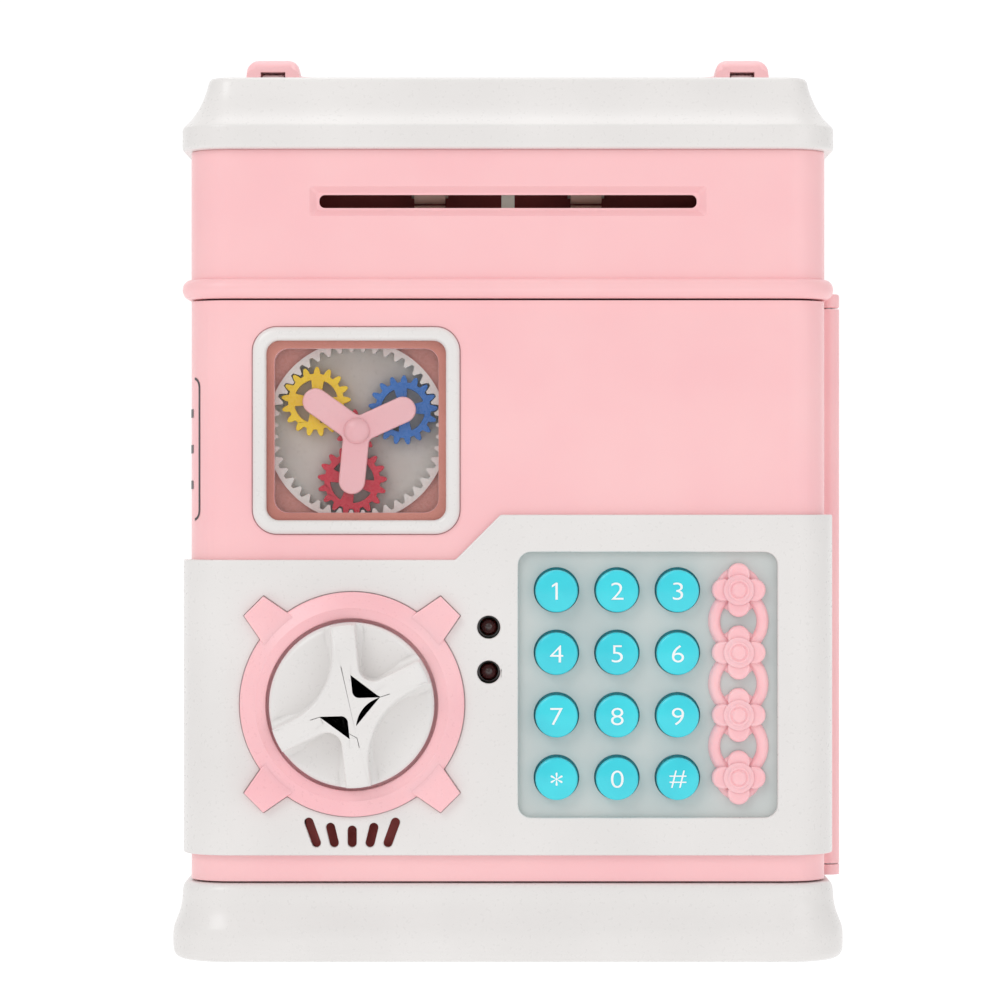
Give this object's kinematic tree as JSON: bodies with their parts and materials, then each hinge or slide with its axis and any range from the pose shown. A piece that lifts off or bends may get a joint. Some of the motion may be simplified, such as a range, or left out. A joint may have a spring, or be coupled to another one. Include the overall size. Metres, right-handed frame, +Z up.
{
  "type": "toy safe coin bank",
  "caption": "Toy safe coin bank with a hinged door, latch dial, number keypad, note slot with feed rollers, coin slot, gear window and folding handle.",
  "frame": {"origin": "on the floor under the middle of the cabinet", "axes": "+Z up, the door faces -Y, +X to the right of someone facing the door; stored with the door shut, the dial upright with its bolt withdrawn and the handle folded back"},
  "size_m": [0.1442, 0.1354, 0.1984],
  "materials": {
    "pink_plastic": "smooth pale pink moulding",
    "white_plastic": "smooth white moulding",
    "teal_plastic": "turquoise domed keys with printed characters",
    "grey_plastic": "light grey satin",
    "flower_pink": "stronger pink, slightly see-through",
    "clear_lens": "clear flat pane",
    "frosted_plastic": "milky white gear moulding",
    "yellow_gear": "yellow gear moulding",
    "blue_gear": "blue gear moulding",
    "red_gear": "red gear moulding",
    "black_plastic": "black",
    "nylon": "natural nylon",
    "steel": "zinc-plated steel",
    "contact_steel": "plated spring steel",
    "motor_steel": "small motor and magnet cases",
    "rubber": "soft pale feet",
    "cream_rubber": "tan grip rubber",
    "grey_rubber": "silicone key mat",
    "board": "green circuit board",
    "speaker_black": "black speaker basket and cone",
    "red_led": "tinted lamp",
    "green_led": "tinted lamp",
    "cells": "wrapped AA cells"
  },
  "bodies": {
    "cabinet": {"base_plinth": "white_plastic", "rubber_feet": "rubber", "battery_cover": "white_plastic", "case_screws": "steel", "aa_cells": "cells", "battery_contacts": "contact_steel", "body_shell": "pink_plastic", "upper_housing": "pink_plastic", "roof": "white_plastic", "coin_chute": "white_plastic", "mechanism_tray": "pink_plastic", "feed_motor": "motor_steel", "hinge_pin": "steel", "handle_pins": "steel"},
    "feed_roller": {"feed_roller": "nylon", "feed_tyres": "cream_rubber"},
    "motor_pinion": {"motor_pinion": "nylon"},
    "pinch_roller": {"pinch_roller": "cream_rubber"},
    "note_flag": {"note_flag": "black_plastic"},
    "handle": {"handle": "pink_plastic"},
    "door": {"door_shell": "pink_plastic", "door_inner_cover": "pink_plastic", "door_screws": "steel", "fascia": "white_plastic", "window_frame": "white_plastic", "window_lens": "clear_lens", "gear_back_plate": "frosted_plastic", "ring_gear": "frosted_plastic", "gear_motor": "motor_steel", "knob_bezel": "pink_plastic", "keypad_plate": "grey_plastic", "flower_chain": "flower_pink", "key_mat": "grey_rubber", "control_board": "board", "led_red": "red_led", "led_green": "green_led", "speaker": "speaker_black", "lock_solenoid": "motor_steel", "latch_cover": "white_plastic"},
    "dial": {"dial_knob": "white_plastic", "dial_shaft": "nylon"},
    "bolt": {"latch_bolt": "nylon"},
    "plunger": {"lock_plunger": "steel"},
    "carrier": {"gear_carrier": "pink_plastic"},
    "sun": {"sun_gear": "red_gear"},
    "planet_yellow": {"planet_yellow": "yellow_gear"},
    "planet_blue": {"planet_blue": "blue_gear"},
    "planet_red": {"planet_red": "red_gear"},
    "key_1": {"key_1": "teal_plastic"},
    "key_2": {"key_2": "teal_plastic"},
    "key_3": {"key_3": "teal_plastic"},
    "key_4": {"key_4": "teal_plastic"},
    "key_5": {"key_5": "teal_plastic"},
    "key_6": {"key_6": "teal_plastic"},
    "key_7": {"key_7": "teal_plastic"},
    "key_8": {"key_8": "teal_plastic"},
    "key_9": {"key_9": "teal_plastic"},
    "key_star": {"key_star": "teal_plastic"},
    "key_0": {"key_0": "teal_plastic"},
    "key_hash": {"key_hash": "teal_plastic"}
  },
  "joints": [
    {"name": "door_hinge", "type": "hinge", "parent": "cabinet", "child": "door", "pos_m": [0.0697, -0.03715, 0.079], "axis": [0, 0, 1], "range_deg": [0, 110]},
    {"name": "handle_fold", "type": "hinge", "parent": "cabinet", "child": "handle", "pos_m": [0, 0, 0.1922], "axis": [1, 0, 0], "range_deg": [0, 95]},
    {"name": "feed_turn", "type": "hinge", "parent": "cabinet", "child": "feed_roller", "pos_m": [0, -0.048, 0.16725], "axis": [1, 0, 0], "continuous": true},
    {"name": "motor_turn", "type": "hinge", "parent": "cabinet", "child": "motor_pinion", "pos_m": [0, -0.03952, 0.17574], "axis": [1, 0, 0], "continuous": true},
    {"name": "pinch_turn", "type": "hinge", "parent": "cabinet", "child": "pinch_roller", "pos_m": [0, -0.048, 0.15595], "axis": [1, 0, 0], "continuous": true},
    {"name": "note_flag_swing", "type": "hinge", "parent": "cabinet", "child": "note_flag", "pos_m": [0, -0.053, 0.172], "axis": [1, 0, 0], "range_deg": [0, 25], "stiffness_Nm_per_rad": 0.0005},
    {"name": "dial_turn", "type": "hinge", "parent": "door", "child": "dial", "pos_m": [-0.0331, -0.06, 0.05465], "axis": [0, 1, 0], "range_deg": [0, 90]},
    {"name": "bolt_slide", "type": "slide", "parent": "door", "child": "bolt", "axis": [-1, 0, 0], "range_m": [0, 0.0063]},
    {"name": "plunger_rise", "type": "slide", "parent": "door", "child": "plunger", "axis": [0, 0, 1], "range_m": [0, 0.003]},
    {"name": "carrier_turn", "type": "hinge", "parent": "door", "child": "carrier", "pos_m": [-0.0323, -0.056, 0.1128], "axis": [0, -1, 0], "continuous": true},
    {"name": "sun_turn", "type": "hinge", "parent": "door", "child": "sun", "pos_m": [-0.0323, -0.056, 0.1128], "axis": [0, -1, 0], "continuous": true},
    {"name": "planet_blue_turn", "type": "hinge", "parent": "carrier", "child": "planet_blue", "pos_m": [-0.02247, -0.056, 0.11728], "axis": [0, -1, 0], "continuous": true},
    {"name": "planet_yellow_turn", "type": "hinge", "parent": "carrier", "child": "planet_yellow", "pos_m": [-0.04109, -0.056, 0.11907], "axis": [0, -1, 0], "continuous": true},
    {"name": "planet_red_turn", "type": "hinge", "parent": "carrier", "child": "planet_red", "pos_m": [-0.03334, -0.056, 0.10205], "axis": [0, -1, 0], "continuous": true},
    {"name": "key_1_press", "type": "slide", "parent": "door", "child": "key_1", "axis": [0, 1, 0], "range_m": [0, 0.0012], "stiffness_N_per_m": 300},
    {"name": "key_2_press", "type": "slide", "parent": "door", "child": "key_2", "axis": [0, 1, 0], "range_m": [0, 0.0012], "stiffness_N_per_m": 300},
    {"name": "key_3_press", "type": "slide", "parent": "door", "child": "key_3", "axis": [0, 1, 0], "range_m": [0, 0.0012], "stiffness_N_per_m": 300},
    {"name": "key_4_press", "type": "slide", "parent": "door", "child": "key_4", "axis": [0, 1, 0], "range_m": [0, 0.0012], "stiffness_N_per_m": 300},
    {"name": "key_5_press", "type": "slide", "parent": "door", "child": "key_5", "axis": [0, 1, 0], "range_m": [0, 0.0012], "stiffness_N_per_m": 300},
    {"name": "key_6_press", "type": "slide", "parent": "door", "child": "key_6", "axis": [0, 1, 0], "range_m": [0, 0.0012], "stiffness_N_per_m": 300},
    {"name": "key_7_press", "type": "slide", "parent": "door", "child": "key_7", "axis": [0, 1, 0], "range_m": [0, 0.0012], "stiffness_N_per_m": 300},
    {"name": "key_8_press", "type": "slide", "parent": "door", "child": "key_8", "axis": [0, 1, 0], "range_m": [0, 0.0012], "stiffness_N_per_m": 300},
    {"name": "key_9_press", "type": "slide", "parent": "door", "child": "key_9", "axis": [0, 1, 0], "range_m": [0, 0.0012], "stiffness_N_per_m": 300},
    {"name": "key_star_press", "type": "slide", "parent": "door", "child": "key_star", "axis": [0, 1, 0], "range_m": [0, 0.0012], "stiffness_N_per_m": 300},
    {"name": "key_0_press", "type": "slide", "parent": "door", "child": "key_0", "axis": [0, 1, 0], "range_m": [0, 0.0012], "stiffness_N_per_m": 300},
    {"name": "key_hash_press", "type": "slide", "parent": "door", "child": "key_hash", "axis": [0, 1, 0], "range_m": [0, 0.0012], "stiffness_N_per_m": 300}
  ],
  "couplings": [
    {"joint": "motor_turn", "follows": "feed_turn", "ratio": -2},
    {"joint": "pinch_turn", "follows": "feed_turn", "ratio": -1},
    {"joint": "bolt_slide", "follows": "dial_turn", "m_per_rad": 0.004},
    {"joint": "sun_turn", "follows": "carrier_turn", "ratio": 5.4},
    {"joint": "planet_blue_turn", "follows": "carrier_turn", "ratio": -2.5882},
    {"joint": "planet_yellow_turn", "follows": "carrier_turn", "ratio": -2.5882},
    {"joint": "planet_red_turn", "follows": "carrier_turn", "ratio": -2.5882}
  ]
}
